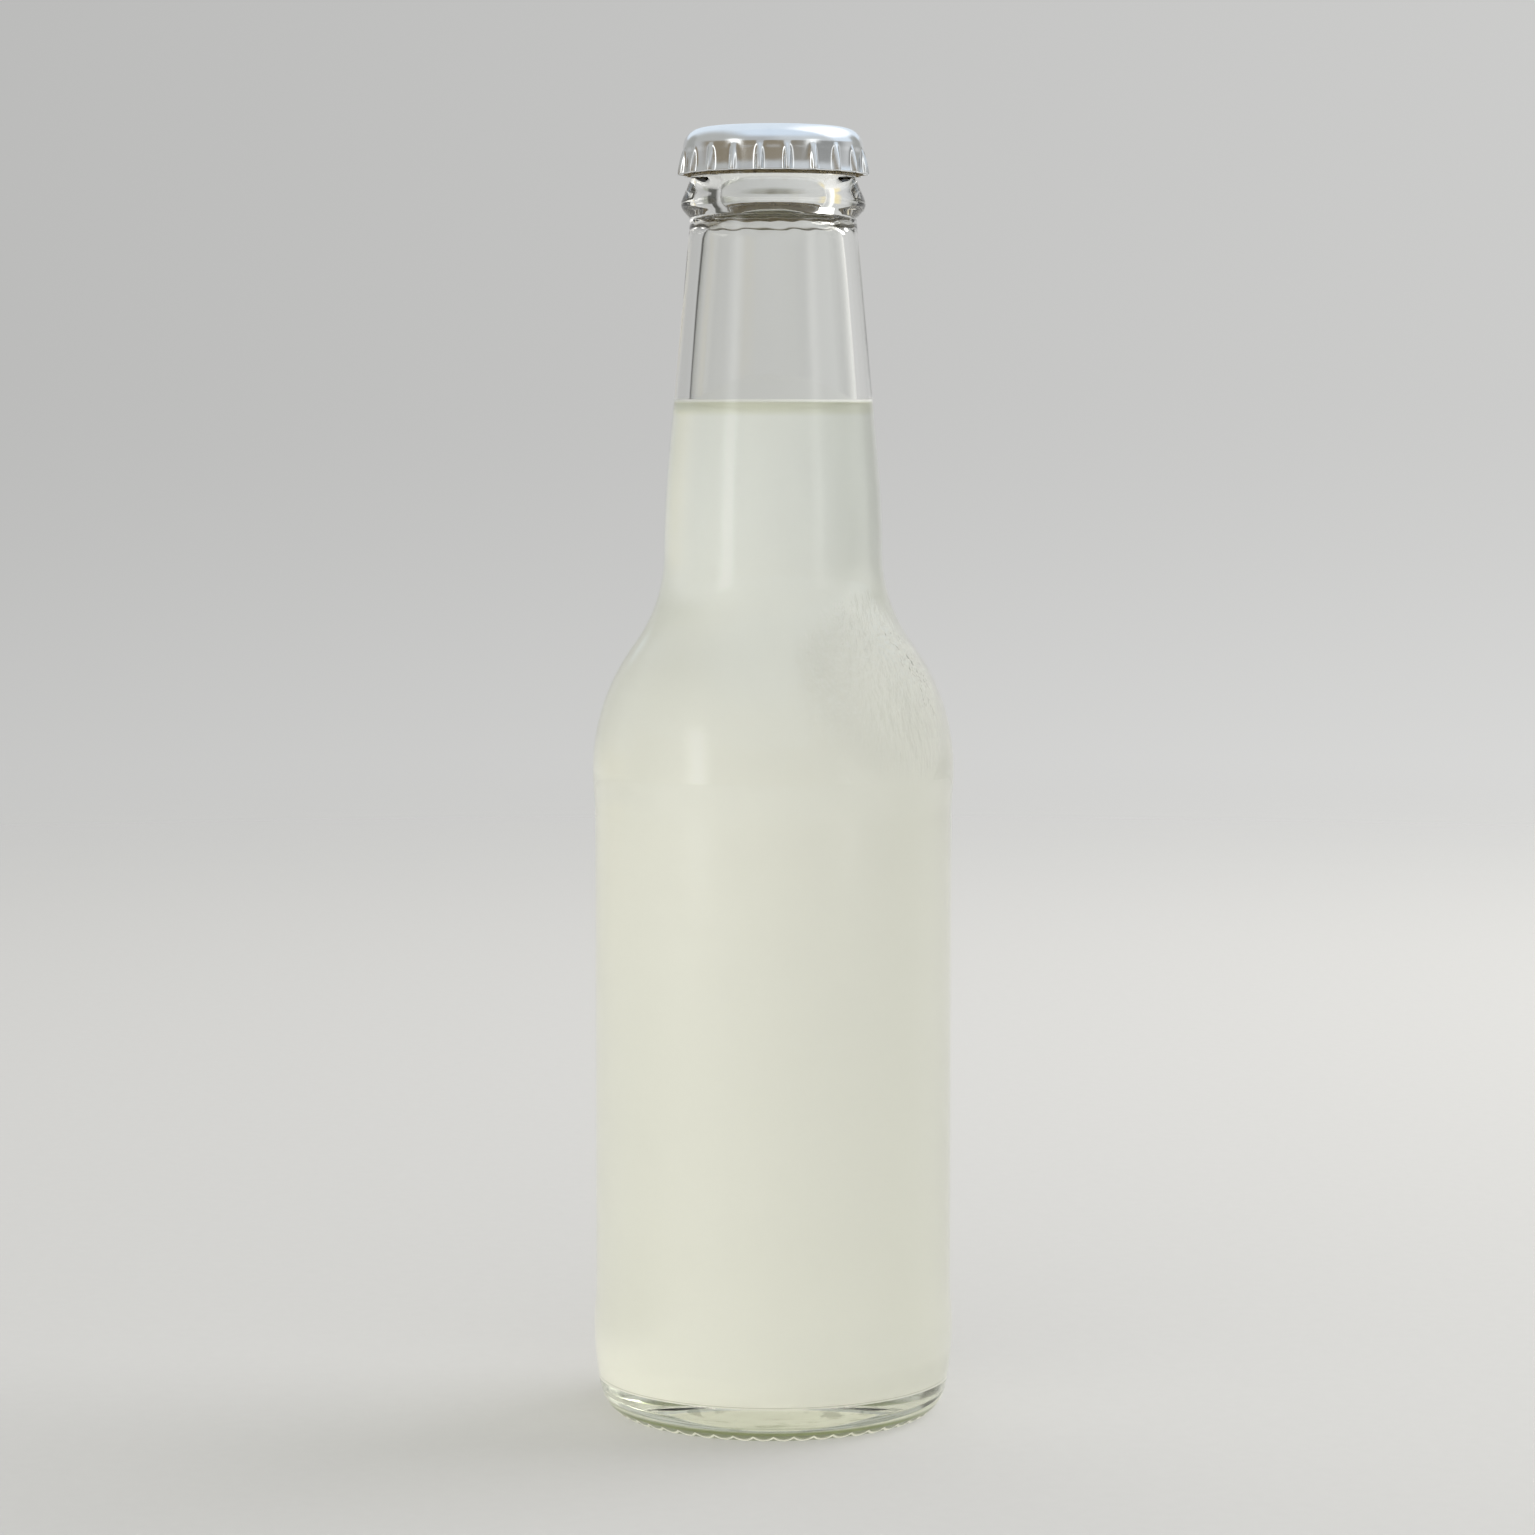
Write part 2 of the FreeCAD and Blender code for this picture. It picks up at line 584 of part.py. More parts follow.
def flute_curve(bottom, top, level, inset):
    """A curve over one ridge, from flute bottom to flute bottom, moved inward by inset.

    The flute bottoms are nearly flat and the ridge between them is round.
    """
    pitch = 2 * math.pi / FLUTES
    points = []
    for number in range(STEPS_PER_FLUTE + 1):
        turn = pitch * number / STEPS_PER_FLUTE
        phase = FLUTES * turn / 2 - math.pi / 2
        aside = math.sin(phase) * 2 / FLUTES * CROWN_RADIUS / RIDGE_HALF_WIDTH
        swell = 1 / (1 + aside ** 4)
        steepness = -4 * aside ** 3 * swell ** 2
        steepness *= math.cos(phase) * CROWN_RADIUS / RIDGE_HALF_WIDTH
        reach = bottom + (top - bottom) * swell
        growth = (top - bottom) * steepness
        outward = FreeCAD.Vector(reach, -growth, 0).normalize()
        spot = FreeCAD.Vector(reach, 0, 0) - outward * inset
        angle = turn + math.radians(FLUTE_PHASE)
        across = spot.x * math.cos(angle) - spot.y * math.sin(angle)
        along = spot.x * math.sin(angle) + spot.y * math.cos(angle)
        points.append(FreeCAD.Vector(across, along, level))
    step = pitch / STEPS_PER_FLUTE
    curve = Part.BSplineCurve()
    curve.interpolate(
        Points=points, Parameters=list(range(len(points))), Scale=False,
        InitialTangent=UP.cross(FreeCAD.Vector(points[0].x, points[0].y, 0)) * step,
        FinalTangent=UP.cross(FreeCAD.Vector(points[-1].x, points[-1].y, 0)) * step
    )
    return curve


def skinned(curves, stations, first_reach):
    """One smooth face through curves of one make, which leaves the first of them level.

    stations are the curves' distances along the face.
    """
    columns = []
    for number in range(curves[0].NbPoles):
        spots = [curve.getPoles()[number] for curve in curves]
        column = Part.BSplineCurve()
        column.interpolate(
            Points=spots, Parameters=stations, Scale=False,
            InitialTangent=FreeCAD.Vector(spots[0].x, spots[0].y, 0) * (1 / first_reach),
            FinalTangent=(spots[-1] - spots[-2]) * (1 / (stations[-1] - stations[-2]))
        )
        columns.append(column)
    surface = Part.BSplineSurface()
    surface.buildFromPolesMultsKnots(
        [column.getPoles() for column in columns],
        curves[0].getMultiplicities(), columns[0].getMultiplicities(),
        curves[0].getKnots(), columns[0].getKnots(),
        False, False, curves[0].Degree, columns[0].Degree
    )
    return surface.toShape()


def fluted_side(inset):
    """The faces of one side of the steel, one a flute, from the flat crown to the rim."""
    curves = []
    stations = []
    corner = CAP_CORNER - inset
    for degrees in CORNER_SECTIONS:
        turn = math.radians(degrees)
        reach = cap_corner_axis.x + corner * math.sin(turn)
        level = cap_corner_axis.y + corner * math.cos(turn)
        curves.append(flute_curve(reach, reach, level, 0.0))
        stations.append(corner * turn)
    for share in SKIRT_SECTIONS:
        level = cap_corner_axis.y - SKIRT_HEIGHT * share
        curves.append(flute_curve(flute_bottom(share), flute_top(share), level, inset))
        stations.append(corner * math.pi / 2 + SKIRT_HEIGHT * share)
    flute = skinned(curves, stations, cap_corner_axis.x)
    faces = []
    for number in range(FLUTES):
        face = flute.copy()
        face.rotate(FreeCAD.Vector(0, 0, 0), UP, 360 * number / FLUTES)
        faces.append(face)
    return faces


def end_wire(faces, level):
    """The closed edge that a side's faces make at a level."""
    edges = []
    for face in faces:
        for edge in face.Edges:
            if all(abs(vertex.Z - level) < 0.001 for vertex in edge.Vertexes):
                edges.append(edge)
    return Part.Wire(Part.__sortEdges__(edges))


outside = fluted_side(0.0)
inside = fluted_side(CAP_STEEL)
rim_level = size("CapRimLevel")
crown_wires = (
    end_wire(outside, size("CapTopLevel")), end_wire(inside, size("LinerTopLevel"))
)
rim_wires = [end_wire(outside, rim_level), end_wire(inside, rim_level)]
rim = Part.makeFace(rim_wires, "Part::FaceMakerBullseye")
shell = Part.Shell(outside + inside + [Part.Face(wire) for wire in crown_wires] + rim.Faces)
shell.sewShape()
crown_cap = doc.addObject("Part::Feature", "crown_cap")
crown_cap.Shape = Part.Solid(shell)

# ---------------------------------------------------------------- checks and files

doc.recompute()
for item in doc.Objects:
    if "Invalid" in item.State or "Error" in item.State:
        raise RuntimeError(f"{item.Name} failed: {item.State}")
for sketch in (glass.sketch, cavity.sketch, fill.sketch, liner.sketch):
    if not sketch.FullyConstrained:
        raise RuntimeError(f"{sketch.Name} isn't fully constrained")

os.makedirs("parts", exist_ok=True)
NODES = (bottle_glass, drink, crown_cap, liner_body)
for node in NODES:
    if node.Shape.isNull() or not node.Shape.isValid() or len(node.Shape.Solids) != 1:
        raise RuntimeError(f"{node.Name} isn't one valid solid")
for node in NODES:
    node.Label = node.Name
    node.Placement = FreeCAD.Placement()
    node.Shape.exportStep(f"parts/{node.Name}.step")
    solid = node.Shape.Solids[0]
    low, high = solid.BoundBox.ZMin, solid.BoundBox.ZMax
    print(f"{node.Name}: {solid.Volume / 1000:.2f} ml, z {low:.2f} to {high:.2f}")
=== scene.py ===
import math
import random

import bpy
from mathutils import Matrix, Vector


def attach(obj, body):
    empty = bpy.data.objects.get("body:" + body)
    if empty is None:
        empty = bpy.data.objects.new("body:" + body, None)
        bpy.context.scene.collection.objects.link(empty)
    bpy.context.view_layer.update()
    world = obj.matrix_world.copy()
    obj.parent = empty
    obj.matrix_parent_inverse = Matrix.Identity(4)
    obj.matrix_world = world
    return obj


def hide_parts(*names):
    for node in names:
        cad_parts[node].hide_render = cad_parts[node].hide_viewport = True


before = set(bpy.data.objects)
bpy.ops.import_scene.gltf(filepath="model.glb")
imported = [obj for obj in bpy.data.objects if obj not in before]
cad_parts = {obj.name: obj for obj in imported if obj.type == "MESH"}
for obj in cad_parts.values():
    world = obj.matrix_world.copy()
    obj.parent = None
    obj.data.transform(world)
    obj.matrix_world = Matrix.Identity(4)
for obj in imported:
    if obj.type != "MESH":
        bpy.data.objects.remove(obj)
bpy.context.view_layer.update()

MM = 0.001
ON_AXIS = 1e-6
random.seed(7)

# ------------------------------------------------------------------ sizes, millimetres
# The outline's sizes are those of the CAD model. Heights (Z) are above the floor.
PUNT, BEARING_IN, BEARING_OUT, HEEL, LOWER_WALL = 3.2, 20.5, 24.2, 5.5, 45.0
BAND, LOW_BAND, BLEND, RECESS, HIGH_BAND = 28.0, 13.4, 6.5, 0.33, 100.05
PANEL = BAND - RECESS
ROOT_Z = HIGH_BAND + 33.82
SHOULDER, ROOT_R, BEND_H = 32.65, 16.84, 6.4
TOP_Z, TOP_R = ROOT_Z + 51.1, 12.8
RING_R, RING_Z, RING_EDGE = 14.2, TOP_Z + 2.2, 1.8
THROAT_R, THROAT_Z = 12.7, TOP_Z + 6.1
BEAD_Z, BEAD_R, BEAD_RISE = THROAT_Z + 1.4, 13.3, 0.95
LIP_Z = BEAD_Z + BEAD_RISE + 4.3
WALL, NECK_WALL, FLOOR, FLOOR_RISE, FLOOR_CORNER = 2.16, 2.4, 5.1, 1.9, 5.2
NARROW_Z, MOUTH_Z, MOUTH_R = LIP_Z - 15.2, LIP_Z - 10.2, 8.2
FILL_Z, MENISCUS, MENISCUS_W = LIP_Z - 42.5, 2.2, 2.1
# how far the drink reaches into the glass, its wet rim, and the room left below that rim's edge
INTO_WALL, WET_RIM, RIM_CLEAR = 0.12, 0.3, 0.4
# the crescents of the heel's foot: a crest CREST_LOW up their height, bent up by CREST_BEND
KNURLS, KNURL_DEPTH, KNURL_TOP, CREST_LOW, CREST_BEND, CREST_WIDTH = 52, 0.3, 1.2, 0.22, 0.5, 0.24
FINE_TOP, FINE, COARSE = 1.8, 1040, 208
# the unevenness of the inside: its depth, and two folds by height, reach and depth
RIPPLE, FOLDS = 0.012, ((7.5, 3.0, 0.05), (183.5, 2.5, 0.03))


def v2(x, y):
    return Vector((x, y))


def circle_meeting(first, first_reach, second, second_reach):
    """The higher point at the two reaches from the two points."""
    way = second - first
    apart = way.length
    along = (first_reach ** 2 - second_reach ** 2 + apart ** 2) / (2 * apart)
    aside = math.sqrt(first_reach ** 2 - along ** 2)
    unit = way / apart
    options = [first + unit * along + v2(-unit.y, unit.x) * s * aside for s in (1, -1)]
    return max(options, key=lambda p: p.y)


def tangent_point(point, centre, radius, side):
    """Where the line from a point touches a circle, on one side of it (-1 or 1)."""
    way = centre - point
    turn = math.atan2(way.y, way.x) + math.asin(radius / way.length) * side
    return point + v2(math.cos(turn), math.sin(turn)) * math.sqrt(way.length ** 2 - radius ** 2)


def ogee(start, tilt, first_radius, end):
    """An S of two arcs that ends upright: first centre, the point where they meet, last centre."""
    first = start - v2(math.cos(tilt), math.sin(tilt)) * first_radius
    way = first - end
    second_radius = (way.length_squared - first_radius ** 2) / (2 * (first_radius + way.x))
    second = end + v2(second_radius, 0)
    share = first_radius / (first_radius + second_radius)
    return first, first + (second - first) * share, second


def rounded(before, corner, after, radius):
    """A rounded corner: where its arc starts, the arc's centre and where it ends."""
    a = (before - corner).normalized()
    b = (after - corner).normalized()
    half = a.angle(b) / 2
    reach = radius / math.tan(half)
    middle = corner + (a + b).normalized() * (radius / math.sin(half))
    return corner + a * reach, middle, corner + b * reach


class Path:
    """Points along an outline of lines and arcs."""

    def __init__(self, start):
        self.points = [start.copy()]

    def line(self, end, step=3.0):
        start = self.points[-1]
        n = max(1, math.ceil((end - start).length / step))
        self.points += [start.lerp(end, k / n) for k in range(1, n + 1)]
        return self

    def arc(self, centre, end, step=5.0, most=2.5):
        start = self.points[-1]
        a, b = start - centre, end - centre
        first = math.atan2(a.y, a.x)
        turn = (math.atan2(b.y, b.x) - first + math.pi) % (2 * math.pi) - math.pi
        n = max(2, math.ceil(max(abs(math.degrees(turn)) / step, abs(turn) * a.length / most)))
        for k in range(1, n + 1):
            angle = first + turn * k / n
            self.points.append(centre + v2(math.cos(angle), math.sin(angle)) * a.length)
        return self


# ------------------------------------------------------------------ the glass's outline
punt_radius = (BEARING_IN ** 2 + PUNT ** 2) / (2 * PUNT)
low_crest, high_crest = v2(BAND, LOW_BAND), v2(BAND, HIGH_BAND)
low_axis = low_crest - v2(LOWER_WALL, 0)
heel_axis = circle_meeting(low_axis, LOWER_WALL - HEEL, v2(BEARING_OUT, 0), HEEL)
heel_end = heel_axis + (heel_axis - low_axis).normalized() * HEEL
panel_low, panel_high = v2(PANEL, LOW_BAND + BLEND), v2(PANEL, HIGH_BAND - BLEND)
blend = v2((low_crest - panel_low).length_squared / (4 * RECESS), 0)
root = v2(ROOT_R, ROOT_Z)
shoulder_axis, shoulder_end, root_axis = ogee(high_crest, 0, SHOULDER, root)
bend, top = v2(ROOT_R, ROOT_Z + BEND_H), v2(TOP_R, TOP_Z)
taper = math.atan2(ROOT_R - TOP_R, TOP_Z - ROOT_Z - BEND_H)
bend_axis = root - v2(BEND_H / math.tan(taper / 2), 0)
taper_start = bend + (top - bend).normalized() * BEND_H
ring_axis = v2(RING_R - RING_EDGE, RING_Z)
throat_low, throat_high = v2(THROAT_R, THROAT_Z), v2(THROAT_R, BEAD_Z)
bead_low, lip_outer = v2(BEAD_R, BEAD_Z + BEAD_RISE), v2(BEAD_R, LIP_Z)
ring_below = tangent_point(top, ring_axis, RING_EDGE, -1)
ring_above = tangent_point(throat_low, ring_axis, RING_EDGE, 1)
neck_round = rounded(taper_start, top, ring_below, 0.8)
low_round = rounded(ring_above, throat_low, throat_high, 0.9)
high_round = rounded(throat_low, throat_high, bead_low, 0.9)
bead_round = rounded(throat_high, bead_low, lip_outer, 0.6)
lip_round = rounded(bead_low, lip_outer, v2(0, LIP_Z), 2.1)

outside = Path(v2(0, PUNT))
outside.arc(v2(0, PUNT - punt_radius), v2(BEARING_IN, 0), 2.0)
outside.line(v2(BEARING_OUT, 0), 0.55)
outside.arc(heel_axis, heel_end, 1.6).arc(low_axis, low_crest, 3.0, 1.2)
outside.arc(low_crest - blend, (low_crest + panel_low) / 2, 1.0)
outside.arc(panel_low + blend, panel_low, 1.0).line(panel_high, 4.0)
outside.arc(panel_high + blend, (panel_high + high_crest) / 2, 1.0)
outside.arc(high_crest - blend, high_crest, 1.0)
outside.arc(shoulder_axis, shoulder_end, 3.0, 1.5).arc(root_axis, root, 3.0, 1.5)
outside.arc(bend_axis, taper_start, 1.0, 1.5).line(neck_round[0], 3.0)
outside.arc(*neck_round[1:], 8).line(ring_below, 1.0).arc(ring_axis, ring_above, 10)
outside.line(low_round[0], 1.0).arc(*low_round[1:], 6).line(high_round[0], 1.0)
outside.arc(*high_round[1:], 6).line(bead_round[0], 1.0).arc(*bead_round[1:], 8)
outside.line(lip_round[0], 1.5).arc(*lip_round[1:], 8).line(v2(MOUTH_R + 1, LIP_Z), 1.0)

bore = PANEL - WALL
wall_low = v2(bore, FLOOR + FLOOR_CORNER)
wall_high = v2(bore, HIGH_BAND)
corner_axis = wall_low - v2(FLOOR_CORNER, 0)
floor_middle = v2(0, FLOOR + FLOOR_RISE)
drop = corner_axis.y - floor_middle.y
floor_radius = (corner_axis.x ** 2 + drop ** 2 - FLOOR_CORNER ** 2) / (2 * (FLOOR_CORNER - drop))
floor_axis = floor_middle - v2(0, floor_radius)
floor_end = floor_axis + (corner_axis - floor_axis).normalized() * floor_radius
bore_root = v2(ROOT_R - NECK_WALL, ROOT_Z)
in_shoulder, in_shoulder_end, in_root = ogee(wall_high, 0, SHOULDER - BAND + bore, bore_root)
bore_bend, bore_top = v2(bore_root.x, ROOT_Z + BEND_H), v2(TOP_R - NECK_WALL, TOP_Z)
bore_taper = bore_bend + (bore_top - bore_bend).normalized() * BEND_H
narrow = bore_bend.lerp(bore_top, (NARROW_Z - bore_bend.y) / (bore_top.y - bore_bend.y))
narrow_axis, narrow_middle, mouth_axis = ogee(narrow, taper, 3.6, v2(MOUTH_R, MOUTH_Z))

inside = Path(floor_middle)
inside.arc(floor_axis, floor_end, 1.0, 1.5).arc(corner_axis, wall_low, 4.0).line(wall_high, 3.0)
inside.arc(in_shoulder, in_shoulder_end, 3.0, 1.5).arc(in_root, bore_root, 3.0, 1.5)
inside.arc(bore_root - v2(BEND_H / math.tan(taper / 2), 0), bore_taper, 1.0, 1.5)
inside.line(narrow, 1.0).arc(narrow_axis, narrow_middle, 4.0)
inside.arc(mouth_axis, v2(MOUTH_R, MOUTH_Z), 4.0)
inside.line(v2(MOUTH_R, LIP_Z - 1), 1.0)
inside.arc(v2(MOUTH_R + 1, LIP_Z - 1), v2(MOUTH_R + 1, LIP_Z), 12)


# ------------------------------------------------------------------ meshes
def add_mesh(name, vertices, faces, material, slot, nodes):
    mesh = bpy.data.meshes.new(name)
    mesh.from_pydata([(x * MM, y * MM, z * MM) for x, y, z in vertices], [], faces)
    mesh.update()
    mesh.shade_smooth()
    piece = bpy.data.objects.new(name, mesh)
    bpy.context.scene.collection.objects.link(piece)
    mesh.materials.append(material)
    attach(piece, "root")
    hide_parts(*nodes)


def lathe(rows, counts, shape):
    """Vertices and faces of a closed form: rows of points round the axis, each with its count.

    shape(row, angle) gives a vertex. Rows on the axis have a count of 1.
    """
    vertices, starts, faces = [], [], []
    for row, count in zip(rows, counts):
        starts.append(len(vertices))
        for k in range(count):
            vertices.append(shape(row, 2 * math.pi * k / count - math.pi / 2))
    for i in range(len(rows) - 1):
        n, m = counts[i], counts[i + 1]
        a, b = starts[i], starts[i + 1]
        if n == 1:
            faces += [(a, b + (k + 1) % m, b + k) for k in range(m)]
        elif m == 1:
            faces += [(b, a + k, a + (k + 1) % n) for k in range(n)]
        elif n == m:
            faces += [(a + k, a + (k + 1) % n, b + (k + 1) % n, b + k) for k in range(n)]
        elif m > n:
            q = m // n
            for k in range(n):
                near = [b + (k * q + j) % m for j in range(q + 1)]
                faces += [(a + k, near[j + 1], near[j]) for j in range(q // 2)]
                faces.append((a + k, a + (k + 1) % n, near[q // 2]))
                faces += [(a + (k + 1) % n, near[j + 1], near[j]) for j in range(q // 2, q)]
        else:
            q = n // m
            for k in range(m):
                near = [a + (k * q + j) % n for j in range(q + 1)]
                faces += [(b + k, near[j], near[j + 1]) for j in range(q // 2)]
                faces.append((b + k, near[q // 2], b + (k + 1) % m))
                faces += [(b + (k + 1) % m, near[j], near[j + 1]) for j in range(q // 2, q)]
    return vertices, faces


# each wave of the inside: weight, turns round the axis, phase
waves = [
    (random.uniform(0.6, 1.4), random.randint(1, 5), random.uniform(0, 6.28)) for _ in range(6)
]


def ripple(angle, z):
    """Slow unevenness of the blown inside, in millimetres."""
    total = 0.0
    for k, (weight, turns, phase) in enumerate(waves):
        total += weight * math.sin(turns * angle + phase + z * (0.05 + 0.035 * k))
    return total * RIPPLE


def pucker(angle, z):
    """Sharper unevenness where the glass folded: the floor's corner and under the mouth."""
    fold = math.sin(7 * angle + 0.9 * z) + 0.8 * math.sin(11 * angle - 1.7 * z + 1.0)
    fold += 0.7 * math.sin(19 * angle + 2.6 * z + 2.0)
    return fold * sum(math.exp(-((z - place) / reach) ** 2) * depth for place, reach, depth in FOLDS)


def crescent(angle, z):
    """How far the knurl's crescents are sunk at a place on the heel's foot, 0 to 1."""
    along = (KNURLS * angle / (2 * math.pi)) % 1 * 2 - 1
    up = z / KNURL_TOP
    ridge = math.exp(-((up - CREST_LOW - CREST_BEND * along ** 2) / CREST_WIDTH) ** 2)
    return (1 - ridge) * max(0.0, 1 - up ** 3)


def glass_vertex(row, angle):
    """A place on the glass: the foot has its crescents, the inside its unevenness."""
    kind, spot = row
    r, z = spot.x, spot.y
    if kind == "out" and r > BEARING_IN + 0.3 and z < KNURL_TOP:
        # under the foot the crescents lift the glass, and on its side they draw it in
        sunk = KNURL_DEPTH * crescent(angle, z)
        rise = min(1.0, max(0.0, (BEARING_OUT + 0.4 - r) / 1.2))
        z += sunk * rise
        r -= sunk * (1 - 0.6 * rise)
    if kind == "in":
        share = min(1.0, r / 8) * min(1.0, max(0.0, (MOUTH_Z - z) / 12))
        r += ripple(angle, z) * share + pucker(angle, z) * min(1.0, r / 12)
    return r * math.cos(angle), r * math.sin(angle), z


def row_count(kind, p):
    """Points round the axis: one on it, many on the foot, where the crescents are."""
    if p.x < ON_AXIS:
        return 1
    if kind == "out" and p.x > BEARING_IN - 0.1 and p.y < FINE_TOP:
        return FINE
    return COARSE


glass_rows = [("out", p) for p in outside.points] + [("in", p) for p in reversed(inside.points[:-1])]
glass_counts = [row_count(kind, p) for kind, p in glass_rows]


# ------------------------------------------------------------------ shader helpers
def add(tree, kind, inputs=(), **settings):
    """A node with its settings and its inputs, each a value or another node's output."""
    new = tree.nodes.new(kind)
    for name, value in settings.items():
        setattr(new, name, value)
    for key, value in dict(inputs).items():
        if isinstance(value, bpy.types.NodeSocket):
            tree.links.new(value, new.inputs[key])
        else:
            new.inputs[key].default_value = value
    return new


def put(shader, **values):
    """Values or other nodes' outputs for a shader's inputs, with _ for a space in a name."""
    for name, value in values.items():
        socket = shader.inputs[name.replace("_", " ")]
        if isinstance(value, bpy.types.NodeSocket):
            shader.id_data.links.new(value, socket)
        else:
            socket.default_value = value


def maths(tree, operation, a, b=0.0):
    return add(tree, "ShaderNodeMath", {0: a, 1: b}, operation=operation).outputs[0]


def spread(tree, value, low, high, first=0.0, last=1.0):
    """From first at low to last at high, smoothly, and level beyond."""
    sockets = {"Value": value, "From Min": low, "From Max": high, "To Min": first, "To Max": last}
    return add(tree, "ShaderNodeMapRange", sockets, interpolation_type="SMOOTHSTEP").outputs[0]


def band(tree, level, low, high, soft=0.00012):
    """1 between two heights in metres, 0 elsewhere."""
    rise = spread(tree, level, low - soft, low + soft)
    fall = spread(tree, level, high + soft, high - soft)
    return maths(tree, "MULTIPLY", rise, fall)


def blend_colour(tree, factor, a, b, how="MIX"):
    sockets = {0: factor, 6: a, 7: b}
    return add(tree, "ShaderNodeMix", sockets, data_type="RGBA", blend_type=how).outputs[2]


def paint(tree, base, colour, *masks):
    """A colour laid over the base as far as the product of the masks goes."""
    mask = masks[0]
    for other in masks[1:]:
        mask = maths(tree, "MULTIPLY", mask, other)
    return blend_colour(tree, mask, base, colour)


def texture(tree, vector, scale, detail=2.0, roughness=0.5, stretch=(1, 1, 1)):
    place = add(tree, "ShaderNodeMapping", {"Vector": vector, "Scale": stretch}).outputs[0]
    sockets = {"Vector": place, "Scale": scale, "Detail": detail, "Roughness": roughness}
    return add(tree, "ShaderNodeTexNoise", sockets).outputs[0]


def bump(tree, height, strength, distance):
    sockets = {"Height": height, "Strength": strength, "Distance": distance}
    return add(tree, "ShaderNodeBump", sockets).outputs["Normal"]


def new_material(name):
    """A material with its node tree, its main shader and a place on the object in metres."""
    material = bpy.data.materials.new(name)
    material.use_nodes = True
    tree = material.node_tree
    place = add(tree, "ShaderNodeTexCoord").outputs["Object"]
    return material, tree, tree.nodes["Principled BSDF"], place


def mix_in(tree, factor, first, second):
    return add(tree, "ShaderNodeMixShader", {0: factor, 1: first.outputs[0], 2: second.outputs[0]})


def let_light_through(tree, shader, shadow_tint, diffuse_tint=None):
    """Shadow rays, and diffuse ones if asked, pass straight on with a tint."""
    path = add(tree, "ShaderNodeLightPath")
    factor, tint = path.outputs["Is Shadow Ray"], shadow_tint
    if diffuse_tint:
        tint = blend_colour(tree, factor, diffuse_tint, shadow_tint)
        factor = maths(tree, "MAXIMUM", factor, path.outputs["Is Diffuse Ray"])
    clear = add(tree, "ShaderNodeBsdfTransparent", {"Color": tint})
    mix = mix_in(tree, factor, shader, clear)
    tree.links.new(mix.outputs[0], tree.nodes["Material Output"].inputs["Surface"])


# ------------------------------------------------------------------ glass
# Heights on the heel in metres: fades from none to full, and bands from their low to high end.
HEEL_FADE, RIM_FADE, FOOT_FADE = (0.0056, 0.0052), (0.0024, 0.0016), (0.00145, 0.00115)
HEEL_MOTTLE_BAND, HEEL_STREAK_BAND = (0.0039, 0.0052, 0.0004), (0.0012, 0.0040, 0.0006)
HIGH_LINE, LOW_LINE = (0.0058, 0.0059, 0.00008), (0.0024, 0.0026)
CLEAR_GLASS, HEEL_GREEN = (0.985, 0.992, 0.98, 1), (0.84, 0.875, 0.76, 1)
# the rim's dark green: the thick glass's tint, darkened further as painted contact shade towards the
# floor
RIM_GREEN_AND_SHADE = (0.10, 0.13, 0.04, 1)
# a grey mottle and green streaks, laid in bands on the heel
HEEL_MOTTLE_GREY, HEEL_STREAK_GREEN = (0.42, 0.45, 0.37, 1), (0.45, 0.49, 0.37, 1)
HIGH_LINE_GREEN, LOW_LINE_GREEN = (0.30, 0.32, 0.24, 1), (0.40, 0.44, 0.33, 1)
# the crescents: dark green glass with painted contact shade, and a painted highlight for the glints
# on their crests
KNURL_GREEN_AND_SHADE, KNURL_PAINTED_GLINT = (0.09, 0.11, 0.05, 1), (1.0, 1.0, 0.93, 1)
GLINT_LOW, GLINT_FADE = 0.30, (0.00026, 0.0001)
# the condensation streaks on the shoulder: their middle, and the reach over which they thin out
STREAKS_AT, STREAKS_REACH = (0.016, -0.017, 0.114), (0.006, 0.017)
GLASS_SHADOW, GLASS_GLEAM = (0.695, 0.695, 0.675, 1), (0.995, 0.995, 0.985, 1)


def knurl_glint_and_shade(tree, place, level):
    """The foot's crescents: a painted highlight for the glint along each bent crest, on dark glass
    deepened by painted contact shade.
    """
    flat_x, flat_y, _ = add(tree, "ShaderNodeSeparateXYZ", {0: place}).outputs
    turn = maths(tree, "ARCTAN2", flat_y, flat_x)
    along = maths(tree, "FRACT", maths(tree, "MULTIPLY", turn, KNURLS / (2 * math.pi)))
    along = maths(tree, "ADD", maths(tree, "MULTIPLY", along, 2.0), -1.0)
    smile = maths(tree, "MULTIPLY", along, along)
    smile = maths(tree, "MULTIPLY", smile, CREST_BEND * KNURL_TOP * MM)
    off_crest = maths(tree, "SUBTRACT", level, smile)
    off_crest = maths(tree, "SUBTRACT", off_crest, GLINT_LOW * KNURL_TOP * MM)
    glint = spread(tree, maths(tree, "ABSOLUTE", off_crest), *GLINT_FADE)
    return blend_colour(tree, glint, KNURL_GREEN_AND_SHADE, KNURL_PAINTED_GLINT)


